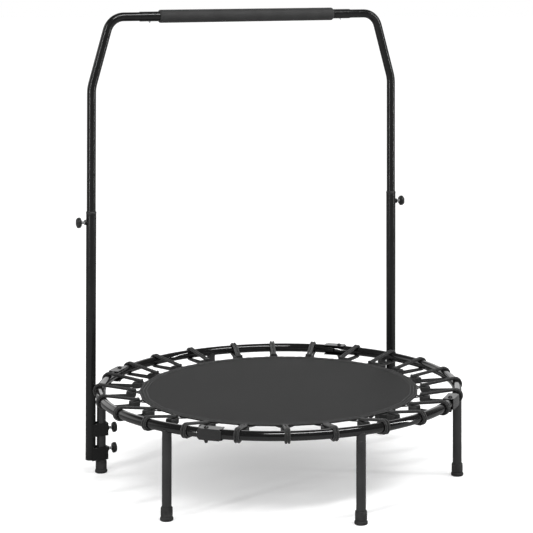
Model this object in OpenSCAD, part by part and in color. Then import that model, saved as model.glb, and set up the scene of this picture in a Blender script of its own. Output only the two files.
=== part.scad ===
// Fitness rebounder: round bungee trampoline with an adjustable-height handle.
// Origin at the centre of the rim on the floor, +Z up, +Y towards the handle side.

/* [Rim] */
// Outside diameter of the tube ring
rim_outer_d = 1016; // [980:1:1040]
// Outside diameter of the rim and leg tubes
tube_od = 25; // [24:0.5:26]
// Wall thickness of the rim and leg tubes
tube_wall = 1.5; // [1:0.1:2]
// Height of the ring's centreline above the floor
rim_z = 235.5; // [220:0.5:260]
// Gap between the ends of two rim sections inside a bracket
section_gap = 4; // [2:0.5:8]

/* [Joint brackets] */
// Length of a bracket along the ring
bracket_len = 63; // [50:1:80]
// Width of a bracket's flanges
bracket_depth = 30; // [26:0.5:32]
// Thickness of the bracket plate
bracket_t = 2; // [1.5:0.1:2.5]
// Distance of the joint bolt from the middle of its bracket
bolt_offset = 13; // [10:0.5:18]
// Diameter of the joint bolt
bolt_d = 6; // [5:0.5:7]
// Diameter of the bolt's button head
bolt_head_d = 12.5; // [11:0.5:14]

/* [Legs] */
// Angle of each handle leg away from the handle side
handle_leg_angle = 63.5; // [62:0.5:65]
// Height of the welded socket showing below the rim
socket_drop = 11; // [8:0.5:16]
// Diameter of the threaded stud that a leg screws on to
stud_d = 7.9; // [6.9:0.5:9.9]
// Height of the rubber foot
foot_h = 34; // [30:0.5:38]
// Diameter of the foot's sleeve
foot_sleeve_d = 31; // [29:0.5:33]
// Diameter of the foot's flared base
foot_base_d = 34.5; // [32:0.5:38]

/* [Mat] */
// Diameter of the jumping mat
mat_d = 778; // [740:1:790]
// Thickness of the mat fabric
mat_t = 2.4; // [1.6:0.1:4]
// Drop of the mat's top face below the ring's centreline
mat_drop = 3; // [0:0.5:6]
// Width of the sewn border band
border_w = 23; // [15:1:30]

/* [Bungees] */
// Diameter of the elastic cord
cord_d = 7; // [6:0.5:7.5]
// Length of a moulded hook along its radius
hook_len = 28; // [24:0.5:32]
// Width of a moulded hook across its radius
hook_w = 24; // [20:0.5:26]
// Height of a moulded hook's body
hook_h = 17; // [15:0.5:20]

/* [Handle] */
// Distance of each post from the middle
post_x = 474.5; // [474:0.1:476]
// Outside diameter of the posts and of the crossbar
post_od = 28; // [27.5:0.1:29]
// Height of the bottom of the post tubes
post_bottom = 42; // [40:0.5:44]
// Height of the top of the post tubes
post_top = 721; // [715:1:740]
// Length of side tube held inside a post at the drawn height
insert_len = 181; // [120:1:200]
// Height of the crossbar's centreline
bar_z = 1267; // [1200:1:1300]
// Height of the corner of the lower bend
kink_z = 1070; // [1000:1:1100]
// Inward slope of the side tubes between their bends
slope = 15.8; // [10:0.1:17]
// Length of the crossbar
bar_len = 664; // [640:1:680]
// Length of side tube plugged into each end of the crossbar
plug_len = 60; // [45:1:70]
// Distance of each snap button from the middle
snap_x = 303; // [295:1:312]
// Outside diameter of the foam grip
grip_d = 38; // [34:0.5:42]
// Length of the foam grip
grip_len = 550; // [450:1:560]

/* [Clamps and knobs] */
// Height of the knob that sets the handle's height
upper_knob_z = 697; // [690:1:705]
// Height of the middle of a lower leg clamp
lower_clamp_z = 55; // [50:1:65]
// Height of the middle of an upper leg clamp
upper_clamp_z = 121; // [110:1:125]
// Distance of a lower clamp's knob above that clamp's middle
lower_knob_rise = 9; // [0:1:9]
// Height of a leg clamp
clamp_h = 35; // [33:1:40]
// Diameter of a knob's screw
screw_d = 7.9; // [6.9:0.5:8.9]
// Diameter of a knob over its lobes
knob_d = 29; // [26:0.5:34]

/* [Hidden] */
$fn = 64;

fit = 0.05;                 // radial clearance of a sliding or turning fit
gap = 0.1;                  // clearance between neighbours that are fixed together
far = 200;                  // length that is safely longer than any cut
bend_lap = 0.4;             // how far a straight runs into the bend that follows it
bend_under = 0.02;          // how much thinner a bend is than the straights it joins
cord_lap = 1;               // how far a cord's straight run goes into its wrap
cord_squeeze = 0.16;        // how much thinner the cord is where it wraps the rim
tube_id = tube_od - 2 * tube_wall;
rim_r = (rim_outer_d - tube_od) / 2;

// Angles of the six legs: back, handle right and left, side left and right, front
leg_angle = [90, 90 - handle_leg_angle, 90 + handle_leg_angle, 210, 330, 270];
socket_z = rim_z - tube_od / 2 - socket_drop;
leg_x = rim_r * sin(handle_leg_angle);
handle_y = rim_r * cos(handle_leg_angle);

bracket_half = bracket_len / 2 / rim_r * 180 / PI;
bolt_angle = -bolt_offset / rim_r * 180 / PI;
bracket_in_h = tube_od + 2 * fit;
bracket_top = bracket_in_h / 2 + bracket_t;
nut_af = 10;
nut_h = 5;
bolt_below = 9;             // length of bolt showing below the bracket, inside its nut
bolt_head_h = 4.5;

mat_top = rim_z - mat_drop;
mat_r = mat_d / 2;
strap_t = 1.6;
strap_z = mat_top - mat_t - gap / 2 - strap_t;
strap_in_r = mat_r - 18;    // the strap arms are sewn under the mat's edge up to here
connections = 24;           // bungee connections, spaced to miss the legs and brackets
hook_in_r = mat_r + 7;
hook_out_r = hook_in_r + hook_len;
hook_top = strap_z + strap_t + 1.2;     // top of a hook's body, just above the strap's slot
lug_len = 7;                // raised inner end of a hook, which holds the upper cord ends
lug_top = mat_top + 6.5;
strap_out_r = hook_in_r + 5;
wrap_r = (tube_od + cord_d) / 2 + fit;
cord_end_gap = 1;           // from a cord's end to the hook that holds it
strand_v = cord_d / 2 + 0.3;    // half the distance between the two strands
cord_drop = 12;             // depth of a strand's lower end below the hook's top

post_id = tube_od + 2 * fit;
ferrule_h = 6;
cap_t = 2.5;
kink_r = 100;
corner_r = 50;
side_in_x = bar_len / 2 - plug_len;
corner_turn = 90 - slope;
kink_tan = kink_r * tan(slope / 2);
corner_tan = corner_r * tan(corner_turn / 2);
slope_len = (bar_z - kink_z) / cos(slope) - kink_tan - corner_tan;

clamp_mid_z = [lower_clamp_z, upper_clamp_z];
clamp_knob_z = [lower_clamp_z + lower_knob_rise, upper_clamp_z];
boss_d = 14;
boss_h = 5;
shank_h = 9;                // screw length showing between boss and knob
hub_h = 6;
head_h = 7.5;
screw_grip = 10;            // length of screw inside the knob
clamp_t = 2;
clamp_face = 3.5;           // from the leg's side to the outside of the clamp's closed end
snap_d = 6;
snap_out = 4;               // length of button showing below the crossbar
flange_z = -9.9;            // underside of the button's flange, from the tube's axis

// A piece placed on the ring at an angle, with +X pointing outwards
module on_ring(angle, z = 0) {
    rotate([0, 0, angle])
        translate([0, 0, z])
            children();
}

// A round-section arc of the ring between two angles
module ring_arc(d, from, to) {
    on_ring(from, rim_z)
        rotate_extrude(angle = to - from, $fn = 180)
            translate([rim_r, 0])
                circle(d = d);
}

// ---------- Rim ----------

module rim_section(from) {
    end_gap = section_gap / 2 / rim_r * 180 / PI;
    color([0.07, 0.07, 0.08])
        difference() {
            ring_arc(tube_od, from + end_gap, from + 90 - end_gap);
            ring_arc(tube_id, from + end_gap - 1, from + 91 - end_gap);
            on_ring(from + 90 + bolt_angle, rim_z - far / 2)
                translate([rim_r, 0, 0])
                    cylinder(d = bolt_d + 0.4, h = far);
        }
}

// Outline of the channel: a web outside the tube and a flange above and below it
module bracket_outline() {
    web_x = tube_od / 2 + fit;
    difference() {
        translate([rim_r + web_x + bracket_t - bracket_depth, -bracket_top])
            square([bracket_depth, 2 * bracket_top]);
        translate([rim_r + web_x - bracket_depth, -bracket_in_h / 2])
            square([bracket_depth, bracket_in_h]);
    }
}

module joint_bracket(middle) {
    web_r = rim_r + tube_od / 2;
    corner = 7;
    color([0.10, 0.10, 0.11])
        difference() {
            on_ring(middle - bracket_half, rim_z)
                rotate_extrude(angle = 2 * bracket_half, $fn = 180)
                    bracket_outline();
            on_ring(middle + bolt_angle, rim_z - far / 2)
                translate([rim_r, 0, 0])
                    cylinder(d = bolt_d + 0.4, h = far);
            for (side = [-1, 1], up = [-1, 1])
                on_ring(middle + side * bracket_half, rim_z + up * bracket_top)
                    translate([web_r, 0, 0])
                        rotate([45, 0, 0])
                            cube(corner, center = true);
        }
}

module rim_joint_bolt() {
    under_head = rim_z + bracket_top;
    translate([rim_r, 0, under_head - 2 * bracket_top - bolt_below])
        cylinder(d = bolt_d, h = 2 * bracket_top + bolt_below + 1);
    translate([rim_r, 0, under_head])
        intersection() {
            cylinder(d = bolt_head_d, h = bolt_head_h);
            translate([0, 0, bolt_head_h - bolt_head_d / 1.6])
                sphere(d = bolt_head_d * 1.25);
        }
}

module rim_joint_nut() {
    dome_d = nut_af - 0.6;
    translate([rim_r, 0, rim_z - bracket_top])
        difference() {
            union() {
                translate([0, 0, -nut_h])
                    cylinder(d = nut_af / cos(30), h = nut_h, $fn = 6);
                translate([0, 0, -nut_h - 1.5])
                    cylinder(d = dome_d, h = 1.5);
                translate([0, 0, -nut_h - 1.5])
                    sphere(d = dome_d);
            }
            translate([0, 0, -bolt_below - 0.5])
                cylinder(d = bolt_d + 2 * fit, h = far);
        }
}

module rim_joint_bolts() {
    color([0.12, 0.12, 0.13])
        for (middle = [45 : 90 : 315])
            on_ring(middle + bolt_angle)
                rim_joint_bolt();
}

module rim_joint_nuts() {
    color([0.12, 0.12, 0.13])
        for (middle = [45 : 90 : 315])
            on_ring(middle + bolt_angle)
                rim_joint_nut();
}

// ---------- Legs ----------

module leg_sockets() {
    socket_d = tube_od - 0.6;
    floor_t = 3;
    color([0.09, 0.09, 0.10])
        for (angle = leg_angle)
            difference() {
                on_ring(angle, socket_z)
                    translate([rim_r, 0, 0])
                        difference() {
                            cylinder(d = socket_d, h = rim_z - 4 - socket_z);
                            translate([0, 0, floor_t])
                                cylinder(d = tube_id, h = far);
                            translate([0, 0, -1])
                                cylinder(d = stud_d + 2 * fit, h = far);
                        }
                ring_arc(tube_od + 2 * fit, angle - 5, angle + 5);
            }
}

module leg_studs() {
    stud_len = 24;
    head_z = socket_z + 3 + gap;
    color([0.62, 0.63, 0.65])
        for (angle = leg_angle)
            on_ring(angle)
                translate([rim_r, 0, 0]) {
                    translate([0, 0, socket_z - stud_len])
                        cylinder(d = stud_d, h = head_z - socket_z + stud_len + 1);
                    translate([0, 0, head_z])
                        cylinder(d = 13 / cos(30), h = 4, $fn = 6);
                }
}

// A tube leg closed at its top by a welded threaded plug
module leg(angle) {
    bottom = 3 + gap;
    top = socket_z - gap;
    plug_h = 26;
    bore_r = stud_d / 2 + fit;
    edge = 0.8;
    color([0.13, 0.13, 0.14])
        on_ring(angle)
            translate([rim_r, 0, 0])
                rotate_extrude()
                    polygon([
                        [tube_id / 2, bottom],
                        [tube_od / 2, bottom],
                        [tube_od / 2, top - edge],
                        [tube_od / 2 - edge, top],
                        [bore_r, top],
                        [bore_r, top - plug_h],
                        [tube_id / 2, top - plug_h]
                    ]);
}

// A rubber foot: a sleeve over the leg with a groove above its flared base
module foot(angle) {
    sleeve_r = foot_sleeve_d / 2;
    base_r = foot_base_d / 2;
    bore_r = tube_od / 2 + gap;
    color([0.05, 0.05, 0.05])
        on_ring(angle)
            translate([rim_r, 0, 0])
                rotate_extrude()
                    polygon([
                        [0, 0],
                        [base_r - 1.5, 0],
                        [base_r, 1.5],
                        [base_r, 7],
                        [sleeve_r + 0.4, 8.5],
                        [sleeve_r - 0.6, 9.5],
                        [sleeve_r - 0.6, 11.5],
                        [sleeve_r, 12.5],
                        [sleeve_r - 0.3, foot_h - 1.2],
                        [sleeve_r - 1.5, foot_h],
                        [bore_r, foot_h],
                        [bore_r, 3],
                        [0, 3]
                    ]);
}

// ---------- Mat ----------

module mat_bed() {
    color([0.24, 0.24, 0.25])
        translate([0, 0, mat_top - mat_t])
            cylinder(r = mat_r, h = mat_t, $fn = 180);
}

module mat_border() {
    border_t = 0.8;
    color([0.27, 0.27, 0.28])
        translate([0, 0, mat_top])
            difference() {
                cylinder(r = mat_r, h = border_t, $fn = 180);
                translate([0, 0, -1])
                    cylinder(r = mat_r - border_w, h = far, $fn = 180);
            }
}

// A flat V of webbing, open towards the mat, whose point runs into the hook
module strap_outline() {
    root_v = 26;
    root_w = 14;
    neck_v = 10;
    neck_w = 9;
    neck_r = hook_in_r - 4;
    for (side = [-1, 1])
        polygon([
            [strap_in_r, side * root_v],
            [strap_in_r, side * (root_v - root_w)],
            [neck_r, side * (neck_v - neck_w)],
            [neck_r, side * neck_v]
        ]);
    translate([neck_r, -neck_v])
        square([strap_out_r - neck_r, 2 * neck_v]);
}

module mat_straps() {
    color([0.08, 0.08, 0.09])
        for (i = [0 : connections - 1])
            on_ring((i + 0.5) * 360 / connections, strap_z)
                linear_extrude(strap_t)
                    strap_outline();
}

// ---------- Bungees ----------

module hook_outline() {
    nose = 6;
    shoulder = 8;
    half = hook_w / 2;
    polygon([
        [hook_in_r, -half + 3],
        [hook_in_r + 3, -half],
        [hook_out_r - shoulder, -half],
        [hook_out_r, -half + nose / 2],
        [hook_out_r, half - nose / 2],
        [hook_out_r - shoulder, half],
        [hook_in_r + 3, half],
        [hook_in_r, half - 3]
    ]);
}

module bungee_hooks() {
    slot_v = 10.4;
    color([0.06, 0.06, 0.06])
        for (i = [0 : connections - 1])
            on_ring((i + 0.5) * 360 / connections)
                difference() {
                    union() {
                        translate([0, 0, hook_top - hook_h])
                            linear_extrude(hook_h)
                                hook_outline();
                        translate([0, 0, hook_top - 1])
                            linear_extrude(lug_top - hook_top + 1)
                                intersection() {
                                    hook_outline();
                                    translate([hook_in_r, -hook_w / 2])
                                        square([lug_len, hook_w]);
                                }
                    }
                    translate([hook_in_r - 1, -slot_v, strap_z - gap])
                        cube([strap_out_r - hook_in_r + 1.2, 2 * slot_v, strap_t + 2 * gap]);
                }
}

// Direction, in degrees, of a line from the tube's centre to a strand's end
function end_angle(end) = atan2(end[1], end[0]);
// Angle between that line and the line to the point where the strand leaves the tube
function leave_angle(end) = acos(wrap_r / norm(end));

// A straight length of cord between the wrap and the hook, in the cross-section's plane
module cord_run(angle, end) {
    start = wrap_r * [cos(angle), sin(angle)];
    run = end - start;
    translate([start[0], start[1], 0])
        rotate([0, 0, atan2(run[1], run[0])])
            translate([-cord_lap, 0, 0])
                rotate([0, 90, 0])
                    cylinder(d = cord_d, h = norm(run) + cord_lap, $fn = 32);
}

// One strand: from the hook's lug over the tube, around it and back under it to the hook
module cord_strand() {
    upper_end = [
        hook_in_r + lug_len + cord_end_gap - rim_r,
        hook_top + cord_d / 2 + 0.3 - rim_z
    ];
    lower_end = [hook_out_r + cord_end_gap - rim_r, hook_top - cord_drop - rim_z];
    upper = end_angle(upper_end) - leave_angle(upper_end);
    lower = end_angle(lower_end) + leave_angle(lower_end);
    upper_turn = (upper + 360) % 360;
    lower_turn = (lower + 360) % 360;
    rotate([0, 0, lower_turn])
        rotate_extrude(angle = upper_turn + 360 - lower_turn, $fn = 48)
            translate([wrap_r, 0])
                circle(d = cord_d - cord_squeeze, $fn = 32);
    cord_run(upper_turn, upper_end);
    cord_run(lower_turn, lower_end);
}

module bungee_cords() {
    color([0.04, 0.04, 0.04])
        for (i = [0 : connections - 1], side = [-1, 1])
            on_ring((i + 0.5) * 360 / connections)
                translate([rim_r, side * strand_v, rim_z])
                    rotate([90, 0, 0])
                        cord_strand();
}

// ---------- Handle posts ----------

// Mirrors a right-hand piece to the left when side is -1
module on_side(side) {
    mirror([side < 0 ? 1 : 0, 0, 0])
        children();
}

module post(side) {
    color([0.13, 0.13, 0.14])
        on_side(side)
            translate([post_x, handle_y, 0])
                difference() {
                    union() {
                        translate([0, 0, post_bottom])
                            cylinder(d = post_od, h = post_top - post_bottom);
                        translate([0, 0, upper_knob_z])
                            rotate([0, 90, 0])
                                cylinder(d = boss_d, h = post_od / 2 + boss_h);
                    }
                    translate([0, 0, post_bottom - 1])
                        cylinder(d = post_id, h = post_top);
                    translate([0, 0, upper_knob_z])
                        rotate([0, 90, 0])
                            cylinder(d = screw_d + 2 * fit, h = far);
                }
}

// A plastic plug in the bottom of a post
module post_cap(side) {
    plug_h = 12;
    color([0.05, 0.05, 0.05])
        on_side(side)
            translate([post_x, handle_y, post_bottom]) {
                translate([0, 0, -gap / 2 - cap_t])
                    cylinder(d = post_od, h = cap_t);
                translate([0, 0, -gap / 2 - 1])
                    cylinder(d = post_id - 2 * gap, h = plug_h);
            }
}

// A plastic ring on the top of a post that guides the side tube
module ferrule(side) {
    bore_r = tube_od / 2 + fit;
    outer_r = post_od / 2 + 0.4;
    bottom = post_top + gap / 2;
    color([0.06, 0.06, 0.06])
        on_side(side)
            translate([post_x, handle_y, bottom])
                rotate_extrude()
                    polygon([
                        [bore_r, 0],
                        [outer_r, 0],
                        [outer_r, ferrule_h - 2],
                        [outer_r - 1.2, ferrule_h],
                        [bore_r, ferrule_h]
                    ]);
}

// A folded plate around a leg, open towards the post that it is welded to
module leg_clamp(side, level) {
    inner_w = tube_od + 0.4;
    outer_w = inner_w + 2 * clamp_t;
    closed_x = leg_x - tube_od / 2 - clamp_face;
    color([0.12, 0.12, 0.13])
        on_side(side)
            difference() {
                union() {
                    translate([closed_x, handle_y - outer_w / 2, clamp_mid_z[level] - clamp_h / 2])
                        cube([post_x - closed_x, outer_w, clamp_h]);
                    translate([closed_x - boss_h, handle_y, clamp_knob_z[level]])
                        rotate([0, 90, 0])
                            cylinder(d = boss_d, h = boss_h + 1);
                }
                translate([closed_x + clamp_t, handle_y - inner_w / 2, 0])
                    cube([post_x, inner_w, far]);
                translate([post_x, handle_y, -1])
                    cylinder(r = post_od / 2 + gap / 2, h = far);
                translate([closed_x - far / 2, handle_y, clamp_knob_z[level]])
                    rotate([0, 90, 0])
                        cylinder(d = screw_d + 2 * fit, h = far);
            }
}

// ---------- Side tubes and crossbar ----------

// A straight round bar from one point to another in the XY plane, lapping into its bends
module straight_bar(d, from, to, lap_from, lap_to) {
    run = to - from;
    translate([from[0], from[1], 0])
        rotate([0, 0, atan2(run[1], run[0])])
            translate([-lap_from, 0, 0])
                rotate([0, 90, 0])
                    cylinder(d = d, h = norm(run) + lap_from + lap_to);
}

// A bend about a centre in the XY plane, a hair thinner than the straight bars
module bend(d, centre, radius, from, turn) {
    translate([centre[0], centre[1], 0])
        rotate([0, 0, from])
            rotate_extrude(angle = turn, $fn = 180)
                translate([radius, 0])
                    circle(d = d - bend_under);
}

// The side tube's path as one solid round bar, drawn in the XY plane
module side_path(d, overrun = 0) {
    kink_c = [post_x - kink_r, kink_z - kink_tan];
    slope_from = kink_c + kink_r * [cos(slope), sin(slope)];
    slope_to = slope_from + slope_len * [-sin(slope), cos(slope)];
    corner_c = slope_to - corner_r * [cos(slope), sin(slope)];
    bottom = [post_x, post_top - insert_len];
    bar_from = [corner_c[0], bar_z];
    straight_bar(d, bottom, [post_x, kink_c[1]], overrun, bend_lap);
    bend(d, kink_c, kink_r, 0, slope);
    straight_bar(d, slope_from, slope_to, bend_lap, bend_lap);
    bend(d, corner_c, corner_r, slope, corner_turn);
    straight_bar(d, bar_from, [side_in_x, bar_z], bend_lap, overrun);
}

module side_tube(side) {
    color([0.13, 0.13, 0.14])
        on_side(side)
            difference() {
                translate([0, handle_y, 0])
                    rotate([90, 0, 0])
                        difference() {
                            side_path(tube_od);
                            side_path(tube_id, 1);
                        }
                translate([snap_x, handle_y, bar_z - far])
                    cylinder(d = snap_d + 2 * fit, h = far);
            }
}

module crossbar() {
    color([0.13, 0.13, 0.14])
        difference() {
            translate([-bar_len / 2, handle_y, bar_z])
                rotate([0, 90, 0])
                    cylinder(d = post_od, h = bar_len);
            translate([-bar_len / 2 - 1, handle_y, bar_z])
                rotate([0, 90, 0])
                    cylinder(d = post_id, h = bar_len + 2);
            for (side = [-1, 1])
                translate([side * snap_x, handle_y, bar_z - far])
                    cylinder(d = snap_d + 2 * fit, h = far);
        }
}

module foam_grip() {
    edge = 3;
    bore_r = post_od / 2 + gap;
    half = grip_len / 2;
    color([0.16, 0.16, 0.17])
        translate([0, handle_y, bar_z])
            rotate([0, 90, 0])
                rotate_extrude()
                    polygon([
                        [bore_r, -half],
                        [grip_d / 2 - edge, -half],
                        [grip_d / 2, edge - half],
                        [grip_d / 2, half - edge],
                        [grip_d / 2 - edge, half],
                        [bore_r, half]
                    ]);
}

// A sprung button that locks a side tube into the crossbar
module snap_button(side) {
    tip_z = -post_od / 2 - snap_out;
    color([0.70, 0.71, 0.73])
        on_side(side)
            translate([snap_x, handle_y, bar_z]) {
                translate([0, 0, tip_z + snap_d / 2])
                    sphere(d = snap_d);
                translate([0, 0, tip_z + snap_d / 2])
                    cylinder(d = snap_d, h = flange_z - tip_z - snap_d / 2 + 0.5);
                translate([0, 0, flange_z])
                    cylinder(d = snap_d + 3, h = 1.5);
            }
}

// A folded leaf inside the tube that presses the button out
module snap_spring(side) {
    leaf_w = 7;
    leaf_t = 0.6;
    low = flange_z + 1.5 + gap;
    high = 9.6;
    tail = 32;
    color([0.55, 0.56, 0.58])
        on_side(side)
            translate([snap_x, handle_y + leaf_w / 2, bar_z])
                rotate([90, 0, 0])
                    linear_extrude(leaf_w)
                        polygon([
                            [-6, low],
                            [tail, low],
                            [tail + 2, low + 2],
                            [tail, low + 4],
                            [-4, high + leaf_t],
                            [-4, high],
                            [tail - 1, low + 3],
                            [tail + 1, low + 2],
                            [tail - 1, low + leaf_t],
                            [-6, low + leaf_t]
                        ]);
}

// ---------- Knobs and their screws ----------

// A screw along +X with its tip at the origin
module knob_screw(reach) {
    color([0.72, 0.73, 0.75])
        rotate([0, 90, 0]) {
            cylinder(d1 = screw_d - 2, d2 = screw_d, h = 1);
            translate([0, 0, 1])
                cylinder(d = screw_d, h = reach - 1 + shank_h + screw_grip - gap);
        }
}

// A lobed knob along +X with the inner end of its hub at the origin
module knob_head() {
    lobes = 6;
    lobe_d = 8.5;
    lobe_r = (knob_d - lobe_d) / 2;
    color([0.05, 0.05, 0.05])
        rotate([0, 90, 0])
            difference() {
                union() {
                    cylinder(d1 = 12, d2 = 17, h = hub_h + 1);
                    translate([0, 0, hub_h])
                        linear_extrude(head_h - 1.5)
                            for (i = [0 : lobes - 1])
                                rotate(i * 360 / lobes)
                                    translate([lobe_r, 0])
                                        circle(d = lobe_d);
                    translate([0, 0, hub_h])
                        cylinder(d = knob_d - 6, h = head_h - 1.5);
                    translate([0, 0, hub_h + head_h - 1.5])
                        cylinder(d1 = knob_d - 6, d2 = knob_d - 12, h = 1.5);
                }
                translate([0, 0, -1])
                    cylinder(d = screw_d + 2 * fit, h = screw_grip + 1);
            }
}

// From the screw's tip to the outer face of its boss, on a post and on a leg clamp
height_reach = (post_od - tube_od) / 2 + boss_h - fit;
clamp_reach = clamp_face + boss_h - fit;

module height_screw(side) {
    on_side(side)
        translate([post_x + tube_od / 2 + fit, handle_y, upper_knob_z])
            knob_screw(height_reach);
}

module height_knob(side) {
    on_side(side)
        translate([post_x + tube_od / 2 + fit + height_reach + shank_h, handle_y, upper_knob_z])
            knob_head();
}

module clamp_screw(side, level) {
    on_side(side)
        translate([leg_x - tube_od / 2 - fit, handle_y, clamp_knob_z[level]])
            rotate([0, 0, 180])
                knob_screw(clamp_reach);
}

module clamp_knob(side, level) {
    on_side(side)
        translate([leg_x - tube_od / 2 - fit - clamp_reach - shank_h, handle_y, clamp_knob_z[level]])
            rotate([0, 0, 180])
                knob_head();
}

rim_section(-45);  // rim_section_right
rim_section(45);  // rim_section_back
rim_section(135);  // rim_section_left
rim_section(225);  // rim_section_front
joint_bracket(45);  // bracket_back_right
joint_bracket(135);  // bracket_back_left
joint_bracket(225);  // bracket_front_left
joint_bracket(315);  // bracket_front_right
rim_joint_bolts();
rim_joint_nuts();
leg_sockets();
leg_studs();
leg(leg_angle[0]);  // leg_back
leg(leg_angle[1]);  // leg_handle_right
leg(leg_angle[2]);  // leg_handle_left
leg(leg_angle[3]);  // leg_side_left
leg(leg_angle[4]);  // leg_side_right
leg(leg_angle[5]);  // leg_front
foot(leg_angle[0]);  // foot_back
foot(leg_angle[1]);  // foot_handle_right
foot(leg_angle[2]);  // foot_handle_left
foot(leg_angle[3]);  // foot_side_left
foot(leg_angle[4]);  // foot_side_right
foot(leg_angle[5]);  // foot_front
mat_bed();
mat_border();
mat_straps();
bungee_hooks();
bungee_cords();
post(-1);  // post_left
post(1);  // post_right
post_cap(-1);  // post_cap_left
post_cap(1);  // post_cap_right
ferrule(-1);  // ferrule_left
ferrule(1);  // ferrule_right
leg_clamp(-1, 0);  // clamp_lower_left
leg_clamp(-1, 1);  // clamp_upper_left
leg_clamp(1, 0);  // clamp_lower_right
leg_clamp(1, 1);  // clamp_upper_right
side_tube(-1);  // side_tube_left
side_tube(1);  // side_tube_right
crossbar();
foam_grip();
snap_spring(-1);  // snap_spring_left
snap_spring(1);  // snap_spring_right
snap_button(-1);  // snap_button_left
snap_button(1);  // snap_button_right
height_screw(-1);  // height_screw_left
height_screw(1);  // height_screw_right
height_knob(-1);  // height_knob_left
height_knob(1);  // height_knob_right
clamp_screw(-1, 0);  // clamp_screw_lower_left
clamp_screw(-1, 1);  // clamp_screw_upper_left
clamp_screw(1, 0);  // clamp_screw_lower_right
clamp_screw(1, 1);  // clamp_screw_upper_right
clamp_knob(-1, 0);  // clamp_knob_lower_left
clamp_knob(-1, 1);  // clamp_knob_upper_left
clamp_knob(1, 0);  // clamp_knob_lower_right
clamp_knob(1, 1);  // clamp_knob_upper_right
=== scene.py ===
"""Looks of a round bungee-cord fitness trampoline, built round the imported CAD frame.

Lengths are in metres, in the CAD's own frame: +Z up, the handle at +Y.
"""

import math

import bmesh
import bpy
import numpy as np
from mathutils import Matrix, Vector, noise


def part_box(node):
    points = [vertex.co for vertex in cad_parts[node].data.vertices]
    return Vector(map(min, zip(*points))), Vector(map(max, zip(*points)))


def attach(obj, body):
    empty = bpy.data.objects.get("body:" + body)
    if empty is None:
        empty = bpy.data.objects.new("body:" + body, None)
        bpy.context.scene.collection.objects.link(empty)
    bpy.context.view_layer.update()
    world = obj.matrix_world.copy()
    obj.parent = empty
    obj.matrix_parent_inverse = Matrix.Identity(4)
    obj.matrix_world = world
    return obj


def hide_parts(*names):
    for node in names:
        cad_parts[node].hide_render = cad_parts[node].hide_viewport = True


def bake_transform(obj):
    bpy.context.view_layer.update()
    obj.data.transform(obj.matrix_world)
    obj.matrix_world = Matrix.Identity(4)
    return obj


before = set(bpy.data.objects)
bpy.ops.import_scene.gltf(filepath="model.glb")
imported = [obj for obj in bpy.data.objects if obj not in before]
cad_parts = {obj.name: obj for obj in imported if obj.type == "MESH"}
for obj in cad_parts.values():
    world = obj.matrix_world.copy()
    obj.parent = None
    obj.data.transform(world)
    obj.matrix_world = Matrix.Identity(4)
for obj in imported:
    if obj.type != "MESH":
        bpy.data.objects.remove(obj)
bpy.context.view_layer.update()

MM = 0.001
TAU = 2 * math.pi


# ---------- Places and sizes worked out from the frame ----------

def ring_span(node):
    """Smallest and largest radius, and lowest and highest height, of a CAD node on the ring."""
    points = [v.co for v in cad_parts[node].data.vertices]
    radii = [math.hypot(p.x, p.y) for p in points]
    heights = [p.z for p in points]
    return min(radii), max(radii), min(heights), max(heights)


def middle(node):
    """Middle of a CAD node's box."""
    low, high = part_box(node)
    return (low + high) / 2


SIDE_SIGNS = {"left": -1, "right": 1}
LEVELS = ("lower", "upper")
LEG_NAMES = ("back", "handle_right", "handle_left", "side_left", "side_right", "front")

CONNECTIONS = 24
SECTOR = TAU / CONNECTIONS
SECTOR_ANGLES = [(i + 0.5) * SECTOR for i in range(CONNECTIONS)]

rim_in, rim_out, rim_low, rim_high = ring_span("rim_section_front")
RIM_R = (rim_in + rim_out) / 2
TUBE_R = (rim_high - rim_low) / 2
RIM_Z = (rim_high + rim_low) / 2
_, MAT_R, MAT_LOW, MAT_TOP = ring_span("mat_bed")
STRAP_IN_R, _, STRAP_LOW, STRAP_HIGH = ring_span("mat_straps")
HOOK_IN_R, HOOK_OUT_R, HOOK_LOW, HOOK_HIGH = ring_span("bungee_hooks")
HOOK_TOP = STRAP_HIGH + 1.2 * MM    # top of a hook's body, under the lug that stands at its mat end
LUG_OUT_R = HOOK_IN_R + 7 * MM      # outer face of the lug

CORD_R = 3.5 * MM                   # radius of one strand
STRAND_V = 3.8 * MM                 # distance of a strand from the middle of its pair
CORD_GAP = 1 * MM                   # between a strand's end and its hook, in the CAD
UPPER_END_R = LUG_OUT_R + CORD_GAP  # where the strands that run over the rim start, at the lug
UPPER_END_Z = HOOK_TOP + CORD_R + 0.3 * MM
LOWER_END_R = HOOK_OUT_R + CORD_GAP     # where the strands that run under the rim end
LOWER_END_Z = HOOK_TOP - 12 * MM
LOWER_SPREAD = 3.0 * MM             # extra distance of a lower strand from its hook's middle
CENTRE_R = 0.250                    # radius of the mat's centre, which moves as one piece


# ---------- Mesh building ----------

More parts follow.
